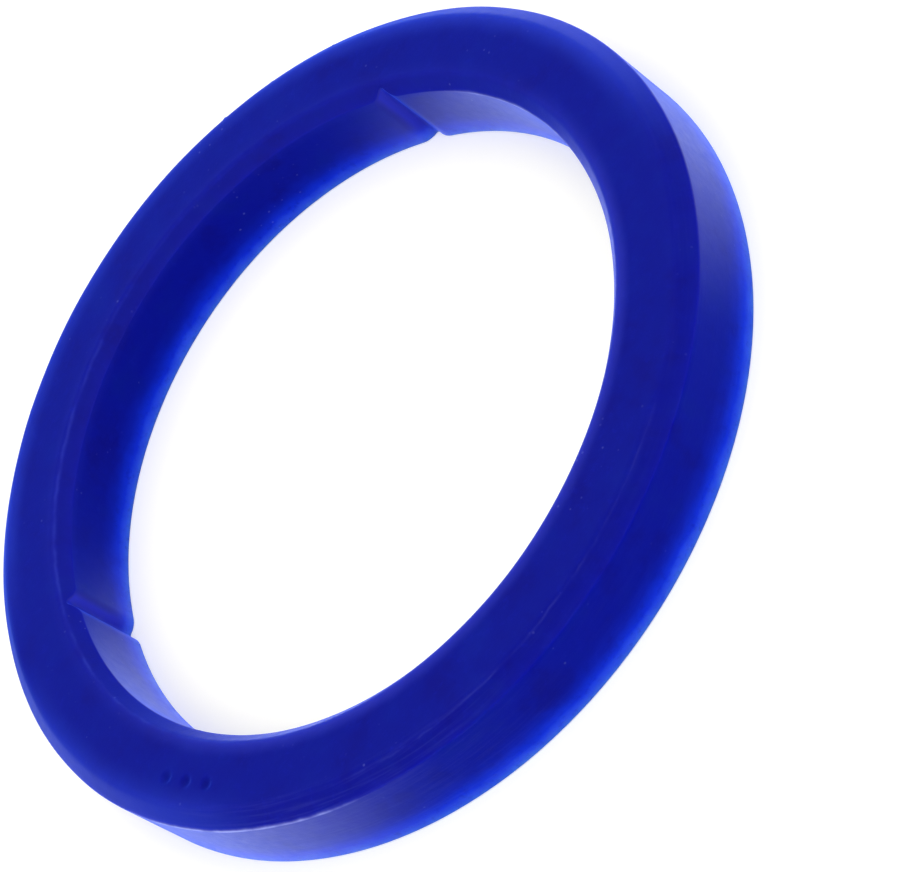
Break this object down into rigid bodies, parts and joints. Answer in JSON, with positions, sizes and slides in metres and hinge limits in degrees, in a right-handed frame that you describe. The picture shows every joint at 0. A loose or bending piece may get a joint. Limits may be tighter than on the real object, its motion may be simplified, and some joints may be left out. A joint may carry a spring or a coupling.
{
  "type": "group head gasket",
  "caption": "Moulded silicone ring seal with a bevelled rim, a chamfered bore and relief grooves down the bore, for a coffee machine group head.",
  "frame": {"origin": "centre of the plain back face, on the ring's axis", "axes": "+Z along the ring's axis, out of the bevelled face; one bore groove is at -Y"},
  "size_m": [0.073, 0.073, 0.0085],
  "materials": {
    "silicone": "slightly translucent deep blue silicone with a soft satin face"
  },
  "bodies": {
    "root": {"group_gasket": "silicone"}
  },
  "joints": []
}
